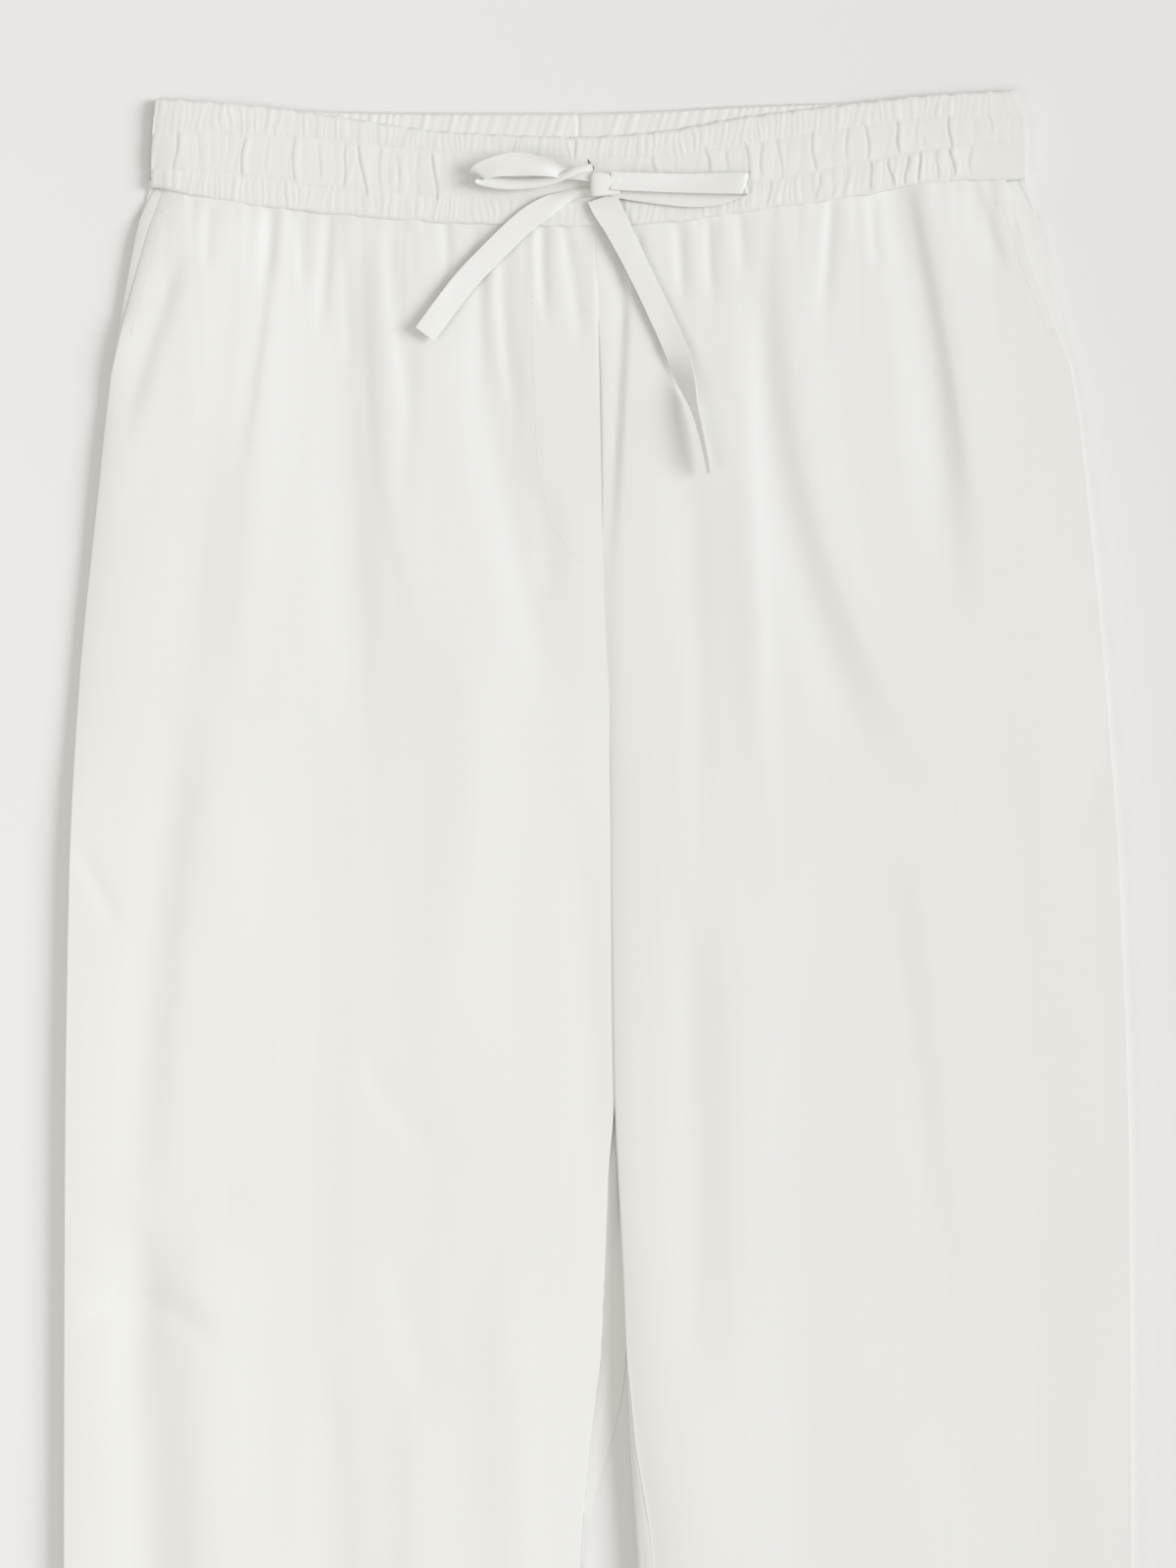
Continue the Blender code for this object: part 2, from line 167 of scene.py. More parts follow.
# Folds of the backs, which lie on the floor, in the same columns.
FOLDS_BACK = (
    ((-190, 80), (-205, 260), (-215, 480), 22, 22, 1.0),
    ((-120, 75), (-118, 240), (-105, 420), 20, 20, 1.1),
    ((-60, 75), (-55, 200), (-50, 330), 16, 16, 0.9),
    ((-200, 560), (-190, 720), (-196, 960), 28, 28, 1.2),
    ((-90, 520), (-80, 700), (-84, 900), 24, 24, 0.9),
    ((60, 75), (66, 260), (72, 460), 20, 20, 1.0),
    ((130, 65), (142, 220), (170, 380), 20, 20, 1.1),
    ((190, 60), (204, 180), (210, 300), 18, 18, 0.8),
    ((110, 520), (120, 700), (118, 930), 28, 28, 1.1),
    ((200, 560), (206, 720), (210, 960), 26, 26, 0.9),
)

# Waistband rows: x, then how far down the band, as a share of its depth, its
# two rows of channel stitching run.
ROW_COLUMNS = ("x", "upper", "lower")
STITCH_ROWS = (
    (-228, 0.37, 0.78),
    (-190, 0.31, 0.71),
    (-140, 0.24, 0.73),
    (-90, 0.21, 0.71),
    (0, 0.23, 0.71),
    (75, 0.31, 0.71),
    (110, 0.27, 0.67),
    (165, 0.26, 0.62),
    (192, 0.28, 0.59),
    (218, 0.28, 0.51),
)
# Sharp creases of the waistband: x and share at each end, depth and reach.
CREASE_COLUMNS = ("x_start", "share_start", "x_end", "share_end", "depth", "reach")
CREASES = (
    (-214, 0.34, -216, 0.76, 0.9, 1.3),
    (-203, 0.36, -204, 0.66, 0.4, 1.0),
    (-180, 0.32, -182, 0.72, 0.9, 1.3),
    (-168, 0.30, -169, 0.66, 0.4, 1.2),
    (-155, 0.26, -155, 0.72, 0.7, 1.2),
    (-141, 0.30, -142, 0.66, 0.4, 1.0),
    (-128, 0.26, -130, 0.72, 0.7, 1.2),
    (-122, 0.24, -118, 0.80, 1.0, 1.2),
    (-111, 0.24, -111, 0.72, 0.5, 1.0),
    (-102, 0.26, -102, 0.74, 0.5, 1.0),
    (-92, 0.30, -92, 0.70, 0.4, 1.0),
    (-84, 0.24, -82, 0.76, 1.1, 1.3),
    (-74, 0.26, -73, 0.66, 0.4, 1.0),
    (-12, 0.02, -11, 0.26, 0.9, 1.2),
    (28, 0.26, 29, 0.44, 0.9, 1.2),
    (40, 0.30, 40, 0.46, 0.4, 1.0),
    (55, 0.24, 57, 0.52, 0.9, 1.2),
    (66, 0.32, 66, 0.52, 0.5, 1.0),
    (75, 0.26, 78, 0.66, 0.8, 1.3),
    (83, 0.28, 84, 0.66, 0.6, 1.2),
    (92, 0.26, 94, 0.70, 0.6, 1.2),
    (109, 0.24, 111, 0.66, 0.8, 1.3),
    (127, 0.24, 127, 0.60, 0.6, 1.2),
    (137, 0.26, 138, 0.62, 0.9, 1.3),
    (152, 0.24, 154, 0.62, 1.0, 1.4),
    (166, 0.28, 166, 0.58, 0.4, 1.0),
    (179, 0.26, 180, 0.62, 1.1, 1.4),
    (200, 0.26, 201, 0.46, 0.5, 1.2),
    (75, 0.72, 76, 0.96, 0.7, 1.2),
    (88, 0.72, 87, 0.96, 0.7, 1.2),
    (113, 0.70, 112, 0.96, 0.8, 1.3),
    (139, 0.66, 140, 0.97, 1.0, 1.3),
    (148, 0.66, 151, 0.98, 1.0, 1.3),
    (158, 0.66, 157, 0.98, 1.3, 1.6),
    (164, 0.64, 164, 0.98, 1.1, 1.3),
    (173, 0.62, 173, 0.96, 0.9, 1.2),
    (180, 0.62, 182, 0.94, 1.0, 1.3),
    (190, 0.60, 190, 0.90, 0.6, 1.2),
)

# Lines of the mock fly's stitching, as places (x, down): the J, and the short
# crease beside the front seam.
FLY_LINES = (
    ((-34, 80), (-33, 140), (-31, 190), (-25, 220), (-14, 236), (-3, 241)),
    ((-30, 239.5), (-18, 241), (-5, 240)),
    ((-10, 111), (-6, 111.6), (-2.6, 114)),
)
POCKET_TACKS = ((-222, 60), (-238, 122), (204, 56), (232, 122))  # x, down
# The slit that the drawstring leaves the waistband by, as places (x, down).
EYELET = (
    (-5.2, 35.2), (-3.6, 37.4), (-1.8, 39.8), (-2.6, 42.2), (-2.2, 46.0), (-3.4, 42.4), (-4.6, 39.2)
)

# Drawstring routes, as in the CAD: x, down, z, then the heading and the tilt
# in degrees of the tape's width, and the width that is left where it is pinched.
LOOP_LEFT = (
    (-2.6, 40.6, 13.4, -115, 0, 4.0),
    (-12.5, 42.6, 14.4, -110, 0, 4.4),
    (-25.0, 46.4, 12.0, -98, 20, 5.0),
    (-40.0, 47.6, 10.8, -90, 32, 7.0),
    (-52.0, 46.8, 11.0, -80, 28, 8.0),
    (-60.5, 44.0, 12.4, -62, 0, 9.0),
    (-53.5, 40.6, 14.0, -78, -8, 10.0),
    (-40.0, 39.0, 14.6, -92, -8, 12.0),
    (-27.0, 40.6, 14.0, -104, -6, 9.0),
    (-16.0, 43.6, 11.2, -102, 0, 5.4),
    (-2.6, 45.2, 10.2, -92, 0, 4.4),
)
LOOP_RIGHT = (
    (6.8, 47.3, 12.1, -90, 0, 9.0),
    (22.0, 47.9, 11.3, -90, 4, 9.4),
    (42.0, 48.5, 10.1, -90, 12, 10.0),
    (60.0, 48.4, 10.3, -90, 13, 11.0),
    (72.6, 48.4, 10.8, -90, 8, 11.0),
    (75.2, 48.9, 9.9, -90, 0, 11.0),
    (72.0, 49.6, 8.6, -82, 0, 11.0),
    (60.0, 53.2, 8.3, -77, 1, 12.0),
    (45.0, 54.0, 8.3, -92, 1, 12.0),
    (24.0, 52.6, 8.6, -97, 1, 10.0),
    (6.8, 50.8, 9.4, -94, 0, 8.0),
)
TAIL_LEFT = (
    (-2.6, 52.0, 8.6, -88, 0, 5.0),
    (-10.0, 52.6, 8.2, -80, 0, 5.0),
    (-18.0, 55.6, 8.1, -64, -2, 7.5),
    (-27.0, 60.6, 8.0, -54, -6, 11.0),
    (-38.0, 68.2, 7.5, -47, -8, 12.0),
    (-54.0, 83.5, 7.0, -43, -8, 12.0),
    (-69.5, 100.0, 7.2, -42, -8, 12.0),
    (-88.0, 125.0, 9.0, -39, -5, 12.0),
)
TAIL_RIGHT = (
    (2.4, 55.0, 7.8, 8, 0, 16.0),
    (4.8, 61.0, 8.8, 15, 0, 15.0),
    (10.4, 71.0, 8.6, 24, 0, 13.4),
    (20.5, 91.0, 7.4, 27, 0, 12.0),
    (32.5, 116.0, 7.0, 27, 2, 12.0),
    (39.5, 132.0, 7.6, 25, 8, 12.0),
    (44.5, 148.0, 9.4, 20, 32, 11.0),
    (48.0, 162.0, 11.4, 15, 62, 8.6),
    (52.0, 178.0, 12.8, 13, 76, 6.6),
    (56.0, 196.0, 13.4, 13, 78, 4.6),
)


# ---- helpers

def smoothstep(value):
    """0 below 0 and 1 above 1, with a smooth rise between."""
    s = np.clip(value, 0.0, 1.0)
    return s * s * (3.0 - 2.0 * s)


def past(value, place, over):
    """0 up to a place, then a smooth rise to 1 over the stretch beyond it."""
    return smoothstep((value - place) / over)


def short_of(value, place, over):
    """1 at first, then a smooth fall to 0 over the stretch before a place."""
    return smoothstep((place - value) / over)


def metres(x, down, z):
    """Stack places given in millimetres as points in metres."""
    return np.stack(np.broadcast_arrays(x * MM, (WAIST_Y - down) * MM, z * MM), axis=-1)


def column(table, columns, name):
    """One named column of a table."""
    return np.array([row[columns.index(name)] for row in table], float)


def wander(values, scale, seed):
    """A smooth wavering line between -1 and 1, as a sum of a few sines."""
    rng = random.Random(seed)
    total = 0.0
    for wave in (1.0, 1.7, 2.9):
        total = total + np.sin(values * wave / scale + rng.uniform(0.0, 6.28)) / wave
    return total / 1.9


def outline(node, along, across):
    """Lowest and highest reach across a CAD node, at many places along it."""
    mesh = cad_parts[node].data
    points = np.array([vertex.co for vertex in mesh.vertices]) / MM
    edges = np.array([edge.vertices[:] for edge in mesh.edges])
    start, end = points[edges[:, 0]], points[edges[:, 1]]
    low, high = points[:, along].min(), points[:, along].max()
    levels = np.linspace(low + 0.05, high - 0.05, 400)
    lowest, highest = [], []
    for level in levels:
        before, after = start[:, along] - level, end[:, along] - level
        crossing = before * after <= 0.0
        share = before[crossing] / (before[crossing] - after[crossing] + 1e-12)
        reach = start[crossing, across] + share * (end[crossing, across] - start[crossing, across])
        lowest.append(reach.min())
        highest.append(reach.max())
    return levels, np.array(lowest), np.array(highest)


def side_lines(node):
    """Functions that give a node's lowest and highest x at each place down."""
    levels, low, high = outline(node, 1, 0)
    on_left = node.endswith("left")

    def lowest(down):
        down = down if on_left else np.maximum(down, SEAM_LOW)
        return np.interp(WAIST_Y - down, levels, low)

    def highest(down):
        down = np.maximum(down, SEAM_LOW) if on_left else down
        return np.interp(WAIST_Y - down, levels, high)
    return lowest, highest


def cross_lines(node):
    """Functions that give how far down a node's top and bottom lie at each x."""
    levels, low, high = outline(node, 0, 1)

    def top(x):
        return WAIST_Y - np.interp(x, levels, high)

    def bottom(x):
        return WAIST_Y - np.interp(x, levels, low)
    return top, bottom


def make_object(name, points, faces, material, uv=None, sharp=60.0):
    """A piece of one material, smooth but for edges sharper than an angle in degrees."""
    mesh = bpy.data.meshes.new(name)
    mesh.from_pydata(points.tolist(), [], faces)
    if uv is not None:
        layer = mesh.uv_layers.new(name="cloth")
        corners = np.empty(len(mesh.loops), np.int32)
        mesh.loops.foreach_get("vertex_index", corners)
        layer.data.foreach_set("uv", uv[corners].astype(np.float32).ravel())
    mesh.shade_smooth()
    mesh.set_sharp_from_angle(angle=math.radians(sharp))
    mesh.materials.append(material)
    piece = bpy.data.objects.new(name, mesh)
    bpy.context.scene.collection.objects.link(piece)
    return piece


def closed_sheet(name, over, under, material, uv):
    """Close two grids of points, one over the other, into a thin sheet."""
    rows, columns = over.shape[:2]
    index = np.arange(rows * columns).reshape(rows, columns)

    def quads(grid):
        return np.stack(
            [grid[:-1, :-1], grid[1:, :-1], grid[1:, 1:], grid[:-1, 1:]], axis=-1
        ).reshape(-1, 4)

    top = quads(index)
    bottom = quads(index + rows * columns)[:, ::-1]
    rim = np.concatenate([index[0, :], index[1:, -1], index[-1, -2::-1], index[-2:0:-1, 0]])
    after = np.roll(rim, -1)
    wall = np.stack([rim, after, after + rows * columns, rim + rows * columns], axis=-1)
    points = np.concatenate([over.reshape(-1, 3), under.reshape(-1, 3)])
    faces = np.concatenate([top, bottom, wall]).tolist()
    return make_object(name, points, faces, material, np.concatenate([uv.reshape(-1, 2)] * 2))


def stand_for(piece, node):
    """Put a piece on the body and hide the CAD node that it stands for."""
    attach(piece, BODY)
    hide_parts(node)


def cloth_piece(node, x, down, over, under, material):
    """The cloth of a CAD node, from grids of x, down and the heights of both faces."""
    uv = np.stack([x * MM, down * MM], axis=-1)
    over, under = metres(x, down, over), metres(x, down, under)
    piece = closed_sheet(node + "_cloth", over, under, material, uv)
    stand_for(piece, node)
    return piece


# ---- materials

def linen(name, colour, slub=0.014, weave_bump=0.08):
    """Off-white plain-weave linen: slubs both ways, a fine weave and a soft mottle."""
    material = bpy.data.materials.new(name)
    material.use_nodes = True
    nodes = material.node_tree.nodes
    links = material.node_tree.links
    shader = nodes["Principled BSDF"]
    shader.inputs["Roughness"].default_value = 0.88
    shader.inputs["Specular IOR Level"].default_value = 0.18
    shader.inputs["Sheen Weight"].default_value = 0.12
    shader.inputs["Sheen Roughness"].default_value = 0.5
    place = nodes.new("ShaderNodeTexCoord").outputs["Object"]

    def streaks(scale, detail):
        """Noise drawn out along one axis, for threads that thicken and thin."""
        mapping = nodes.new("ShaderNodeMapping")
        mapping.inputs["Scale"].default_value = scale
        links.new(place, mapping.inputs["Vector"])
        noise = nodes.new("ShaderNodeTexNoise")
        noise.inputs["Scale"].default_value = 1.0
        noise.inputs["Detail"].default_value = detail
        links.new(mapping.outputs["Vector"], noise.inputs["Vector"])
        return noise.outputs["Fac"]

    def maths(operation, first, second):
        node = nodes.new("ShaderNodeMath")
        node.operation = operation
        for socket, value in zip(node.inputs, (first, second)):
            if isinstance(value, float):
                socket.default_value = value
            else:
                links.new(value, socket)
        return node.outputs["Value"]

    def threads(direction):
        wave = nodes.new("ShaderNodeTexWave")
        wave.bands_direction = direction
        wave.inputs["Scale"].default_value = 330.0
        wave.inputs["Distortion"].default_value = 1.2
        wave.inputs["Detail"].default_value = 1.0
        links.new(place, wave.inputs["Vector"])
        return wave.outputs["Fac"]

    warp = streaks((620.0, 16.0, 40.0), 3.0)
    weft = streaks((22.0, 700.0, 40.0), 3.0)
    mottle = streaks((9.0, 7.0, 9.0), 2.0)
    weave = maths("MULTIPLY", threads("X"), threads("Y"))
    slubs = maths("ADD", maths("MULTIPLY", warp, 0.6), maths("MULTIPLY", weft, 0.4))
    tone = maths("ADD", maths("MULTIPLY", slubs, 0.7), maths("MULTIPLY", mottle, 0.3))
    tone = maths("ADD", maths("MULTIPLY", tone, 0.85), maths("MULTIPLY", weave, 0.15))
    ramp = nodes.new("ShaderNodeValToRGB")
    low, high = ramp.color_ramp.elements
    low.position = 0.30
    high.position = 0.70
    dark = [channel * (1.0 - slub) for channel in colour]
    light = [min(channel * (1.0 + slub), 1.0) for channel in colour]
    low.color = (*dark, 1.0)
    high.color = (*light, 1.0)
    links.new(tone, ramp.inputs["Fac"])
    links.new(ramp.outputs["Color"], shader.inputs["Base Color"])
    relief = maths("ADD", maths("MULTIPLY", weave, 0.5), slubs)
    bump = nodes.new("ShaderNodeBump")
    bump.inputs["Strength"].default_value = weave_bump
    bump.inputs["Distance"].default_value = 0.0003
    links.new(relief, bump.inputs["Height"])
    links.new(bump.outputs["Normal"], shader.inputs["Normal"])
    return material


def floor_material():
    """Plain pale board with a very faint mottle."""
    material = bpy.data.materials.new("pale_floor")
    material.use_nodes = True
    nodes = material.node_tree.nodes
    links = material.node_tree.links
    shader = nodes["Principled BSDF"]
    shader.inputs["Roughness"].default_value = 0.95
    shader.inputs["Specular IOR Level"].default_value = 0.1
    noise = nodes.new("ShaderNodeTexNoise")
    noise.inputs["Scale"].default_value = 3.0
    ramp = nodes.new("ShaderNodeValToRGB")
    ramp.color_ramp.elements[0].color = (0.766, 0.757, 0.738, 1.0)
    ramp.color_ramp.elements[1].color = (0.782, 0.773, 0.754, 1.0)
    links.new(noise.outputs["Fac"], ramp.inputs["Fac"])
    links.new(ramp.outputs["Color"], shader.inputs["Base Color"])
    return material


CLOTH_LINEN = linen("linen_cloth", (0.776, 0.769, 0.738))
BAND_LINEN = linen("linen_band", (0.762, 0.755, 0.722))
TAPE_LINEN = linen("linen_tape", (0.776, 0.769, 0.738), slub=0.01)
THREAD = linen("linen_thread", (0.720, 0.710, 0.672), slub=0.01, weave_bump=0.05)
# a near-black linen: painted shade for the hollow of the drawstring's slit
PAINTED_SHADE_LINEN = linen("linen_painted_shade", (0.16, 0.15, 0.13), slub=0.05)


# ---- camera and light

def make_camera():
    x, down = VIEW_CENTRE
    camera = bpy.data.cameras.new("camera")
    camera.sensor_fit = "VERTICAL"
    camera.sensor_height = 36.0
    camera.lens = 36.0 * CAMERA_HEIGHT / VIEW_HEIGHT
    viewer = bpy.data.objects.new("camera", camera)
    viewer.location = (x * MM, (WAIST_Y - down) * MM, CAMERA_HEIGHT + FRONT_TOP * MM)
    bpy.context.scene.collection.objects.link(viewer)
    bpy.context.scene.camera = viewer


def make_light():
    world = bpy.data.worlds.new("studio")
    world.use_nodes = True
    background = world.node_tree.nodes["Background"]
    background.inputs["Color"].default_value = (1.03, 1.0, 0.965, 1.0)
    background.inputs["Strength"].default_value = 0.565
    bpy.context.scene.world = world
    sun = bpy.data.lights.new("key", "SUN")
    sun.energy = 2.28
    sun.color = (0.96, 1.0, 1.05)
    sun.angle = math.radians(30.0)
    key = bpy.data.objects.new("key", sun)
    azimuth = math.radians(KEY_AZIMUTH)
    elevation = math.radians(KEY_ELEVATION)
    towards = Vector((math.cos(azimuth), math.sin(azimuth), math.tan(elevation)))
    key.rotation_euler = towards.to_track_quat("Z", "Y").to_euler()
    bpy.context.scene.collection.objects.link(key)
    panel = bpy.data.lights.new("fill", "AREA")
    panel.energy = 4.5
    panel.size = 0.8
    fill = bpy.data.objects.new("fill", panel)
    fill.location = Vector((-1.0, -0.1, 1.3))
    fill.rotation_euler = fill.location.to_track_quat("Z", "Y").to_euler()
    bpy.context.scene.collection.objects.link(fill)
    bpy.context.scene.view_settings.view_transform = "Standard"


def make_floor():
    half_side = 4.0
    points = half_side * np.array([(-1, -1, 0), (1, -1, 0), (1, 1, 0), (-1, 1, 0)])
    floor = make_object("floor", points, [[0, 1, 2, 3]], floor_material())


# ---- drawstring

def tape_route(rows, parts):
    """Points and width directions, in metres, along a smooth route."""
    x, down, z, heading, tilt, width = np.array(rows, float).T
    heading, tilt = np.radians(heading), np.radians(tilt)
    sides = np.stack(
        [np.cos(heading) * np.cos(tilt), np.sin(heading) * np.cos(tilt), np.sin(tilt)], axis=-1
    )

    def spline(values):
        result = []
        for i in range(len(values) - 1):
            before, start = values[max(i - 1, 0)], values[i]
            end, after = values[i + 1], values[min(i + 2, len(values) - 1)]
            for s in np.linspace(0.0, 1.0, parts, endpoint=False):
                result.append(0.5 * (
                    2.0 * start
                    + (end - before) * s
                    + (2.0 * before - 5.0 * start + 4.0 * end - after) * s * s
                    + (3.0 * start - before - 3.0 * end + after) * s**3
                ))
        result.append(values[-1])
        return np.array(result)

    points, sides, widths = spline(metres(x, down, z)), spline(sides), spline(width * MM)
    along = np.gradient(points, axis=0)
    along /= np.linalg.norm(along, axis=1, keepdims=True)
    sides -= along * (sides * along).sum(axis=1, keepdims=True)
    sides /= np.linalg.norm(sides, axis=1, keepdims=True)
    return points, along, sides, widths


def make_tape(node, rows, tip=1.0):
    """One stretch of the drawstring, as a flat cord that may narrow at its tip."""
    points, along, sides, widths = tape_route(rows, 14)
    normal = np.cross(along, sides)
    travelled = np.concatenate([[0.0], np.cumsum(np.linalg.norm(np.diff(points, axis=0), axis=1))])
    to_tip = short_of(travelled, travelled[-1], 10.0 * MM)
    widths = widths * (tip + (1.0 - tip) * to_tip)
    across = np.linspace(-0.5, 0.5, 15)
    ripple = 0.12 * MM * wander(travelled / MM, 9.0, len(rows))[:, None]
    cup = 0.5 * (1.0 - widths / (TAPE_WIDTH * MM)).clip(0.0, 1.0)[:, None] * widths[:, None]
    bend = ripple * np.cos(across * 5.0)[None, :] - cup * (2.0 * across[None, :]) ** 2
    middle = points[:, None, :] + sides[:, None, :] * (across[None, :] * widths[:, None])[..., None]
    middle = middle + normal[:, None, :] * bend[..., None]
    thick = 0.5 * TAPE * MM * (1.0 - 0.2 * (2.0 * np.abs(across)) ** 12)[None, :, None]
    uv = np.stack(np.broadcast_arrays(across[None, :] * TAPE_WIDTH * MM, travelled[:, None]), -1)
    over = middle + normal[:, None, :] * thick
    under = middle - normal[:, None, :] * thick
    tape = closed_sheet(node + "_tape", over, under, TAPE_LINEN, uv)
    stand_for(tape, node)


# ---- panels

def fold_heights(folds, x, down):
    """Sum the folds, each a soft ridge or trough along its own curve."""
    total = np.zeros_like(x)
    steps = np.linspace(0.0, 1.0, 40)
    for values in folds:
        fold = dict(zip(FOLD_COLUMNS, values))
        start, middle, end = (np.array(fold[key], float) for key in FOLD_COLUMNS[:3])
        control = 2.0 * middle - 0.5 * (start + end)
        path = (
            ((1.0 - steps) ** 2)[:, None] * start
            + (2.0 * steps * (1.0 - steps))[:, None] * control
            + (steps**2)[:, None] * end
        )
        reach = 2.6 * max(fold["left"], fold["right"])
        near = (
            (x > path[:, 0].min() - reach)
            & (x < path[:, 0].max() + reach)
            & (down > path[:, 1].min() - reach)
            & (down < path[:, 1].max() + reach)
        )
        if not near.any():
            continue
        places = np.stack([x[near], down[near]], axis=-1)
        best = np.full(len(places), np.inf)
        signed = np.zeros(len(places))
        where = np.zeros(len(places))
        for i in range(len(path) - 1):
            step = path[i + 1] - path[i]
            offset = places - path[i]
            share = np.clip(offset @ step / (step @ step), 0.0, 1.0)
            gap = offset - share[:, None] * step
            distance = np.hypot(gap[:, 0], gap[:, 1])
            closer = distance < best
            best = np.where(closer, distance, best)
            side = np.sign(step[1] * gap[:, 0] - step[0] * gap[:, 1])
            signed = np.where(closer, distance * np.where(side == 0.0, 1.0, side), signed)
            where = np.where(closer, (i + share) / (len(path) - 1), where)
        spread = np.where(signed < 0.0, fold["left"], fold["right"])
        profile = np.exp(-2.0 * (signed / spread) ** 2)
        taper = smoothstep(where / 0.3 + 0.12) * smoothstep((1.0 - where) / 0.35 + 0.02)
        total[near] += fold["height"] * profile * taper
    return total


def panel_grid(node, band_node, columns, rows):
    """x and down over a leg panel, tucked under its waistband, and how far off its sides are."""
    low, high = side_lines(node)
    _, band_bottom = cross_lines(band_node)
    lead = np.linspace(0.0, 1.0, rows)
    lead = 0.5 * lead + 0.5 * lead**2  # rows are closer together near the waist
    edge = np.array(EDGE_COLUMNS)
    inside = np.linspace(0.0, 1.0, columns - 2 * len(edge) + 2)[1:-1]
    share = np.concatenate([0.0 * edge, inside, 0.0 * edge + 1.0])
    offset = np.concatenate([edge, edge[-1] * (1.0 - 2.0 * inside), -edge[::-1]])

    def across(down):
        left, right = low(down), high(down)
        return left + share * (right - left) + offset

    top = band_bottom(across(SEAM_LOW)) - TUCK
    top = band_bottom(across(top)) - TUCK
    down = top + lead[:, None] * (HEM_DOWN - top)
    x = across(down)
    return x, down, x - low(down), high(down) - x


def rolled(height, edge_height, to_edge, radius, square=2.0):
    """Bring a height down to an edge with a rounded shoulder, or a squarer one."""
    t = np.clip(to_edge / radius, 0.0, 1.0)
    return edge_height + (height - edge_height) * (1.0 - (1.0 - t) ** square) ** (1.0 / square)


def gathers(x, down, top, seed):
    """Small gathers under the waistband, fading down the panel."""
    rng = random.Random(seed)
    total = np.zeros_like(x)
    lead = down - top
    place = x.min()
    while place < x.max():
        place += rng.uniform(4.0, 12.0)
        depth = rng.uniform(0.15, 0.6)
        reach = rng.uniform(1.8, 3.6)
        length = rng.uniform(10.0, 34.0)
        lean = rng.uniform(-0.06, 0.06)
        centre = place + lean * lead
        fade = np.exp(-np.clip(lead, 0.0, None) / length)
        total -= depth * fade * np.exp(-((x - centre) / reach) ** 2)
    return total


def wrinkles(x, down, seed):
    """The slight unevenness of linen that has been pressed and laid down."""
    rng = random.Random(seed)
    total = np.zeros_like(x)
    for _ in range(26):
        heading = rng.gauss(0.0, 0.5)
        wave = rng.uniform(30.0, 110.0)
        phase = rng.uniform(0.0, 6.28)
        turned = x * math.cos(heading) + down * math.sin(heading) * 0.45
        warp = 8.0 * np.sin(down / rng.uniform(60.0, 160.0) + phase)
        total += np.sin((turned + warp) * 2.0 * math.pi / wave + phase) * wave / 90.0
    return total * 0.035


def hem_step(down):
    """The hem's doubled cloth, pinched along its row of stitching."""
    above = HEM_DOWN - HEM_DEPTH - down
    return 0.7 * smoothstep(-above / 2.0) - 0.45 * np.exp(-(above / 1.2) ** 2)


def puff(x, down, side):
    """How far air and the fold of the side seam lift a front at each place."""
    lower = past(down, 130.0, 130.0)
    if side == "right":
        return PUFF * lower
    hip = short_of(x, -150.0, 60.0) * past(down, 50.0, 26.0)
    return PUFF * (lower + (1.0 - lower) * hip)


def facing_height(x, down, to_side, side):
    """Height of a pocket facing, which curves down to the side seam."""
    bend = (1.8 if side == "left" else 0.0) * np.exp(-to_side / 5.0)
    return FACING_TOP + puff(x, down, side) - bend


def side_slope(down, side):
    """How far a front has dropped where it turns over at its side seam."""
    if side == "right":
        return 0.0
    return 0.5 + 2.3 * past(down, MOUTH_END, 50.0) * short_of(down, 400.0, 110.0)


def inner_line(down, to_inner, side):
    """How far a front drops, or rises, towards the front seam and the inseam."""
    knee = past(down, INSEAM_SHOWS, 140.0)
    if side == "left":
        drop = 1.6 + 0.8 * past(down, 290.0, 60.0) + 1.0 * knee
        return -drop * np.exp(-to_inner / 45.0) * past(down, 150.0, 110.0)
    swell = 8.0 * knee * np.exp(-to_inner / 80.0)
    sag = 1.9 * past(down, 85.0, 60.0) + 3.6 * knee
    bead = 0.35 * knee * np.exp(-to_inner / 1.2)
    return swell - sag * np.exp(-to_inner / (8.0 + 8.0 * knee)) + bead


def front_height(x, down, to_side, to_inner, top, side):
    """Height of a front's upper face."""
    folds = FOLDS_LEFT if side == "left" else FOLDS_RIGHT
    height = FRONT_TOP + fold_heights(folds, x, down) + puff(x, down, side)
    height += gathers(x, down, top, 11 if side == "left" else 12)
    height += wrinkles(x, down, 21 if side == "left" else 22)
    height += hem_step(down)
    lead = (down - top - TUCK).clip(0.0, None)
    height += 0.9 * np.exp(-lead / 4.0)
    height += inner_line(down, to_inner, side)
    height -= side_slope(down, side) * np.exp(-to_side / 12.0)
    # a soft lower limit keeps the front above the back
    lowest = BACK_TOP + CLOTH + 0.3
    height = lowest + np.logaddexp(0.0, (height - lowest) * 3.0) / 3.0
    # the side: a fold down to the floor, but a thin edge at the pocket mouth
    mouth = short_of(down, MOUTH_END, 14.0)
    lip = facing_height(x, down, to_side + 5.0, side) + 0.15
    if side == "left":
        height -= mouth * (height - lip - 0.15) * np.exp(-to_side / 6.0)
    edge = 1.0 + mouth * (lip - 1.0)
    height = rolled(height, edge, to_side, 2.0 * (1.0 - mouth) + 0.7, 60.0)
    if side == "right":
        return rolled(height, height - 0.3 * short_of(down, 640.0, 60.0), to_inner, 0.8)
    # the groove of the front seam, and the inseam once the legs have come apart
    height -= 0.35 * short_of(down, 170.0, 60.0) * np.exp(-to_inner / 0.8)
    apart = past(down, LEGS_PART, 60.0)
    return rolled(height, height + apart * (1.4 - height), to_inner, 1.2, 18.0)


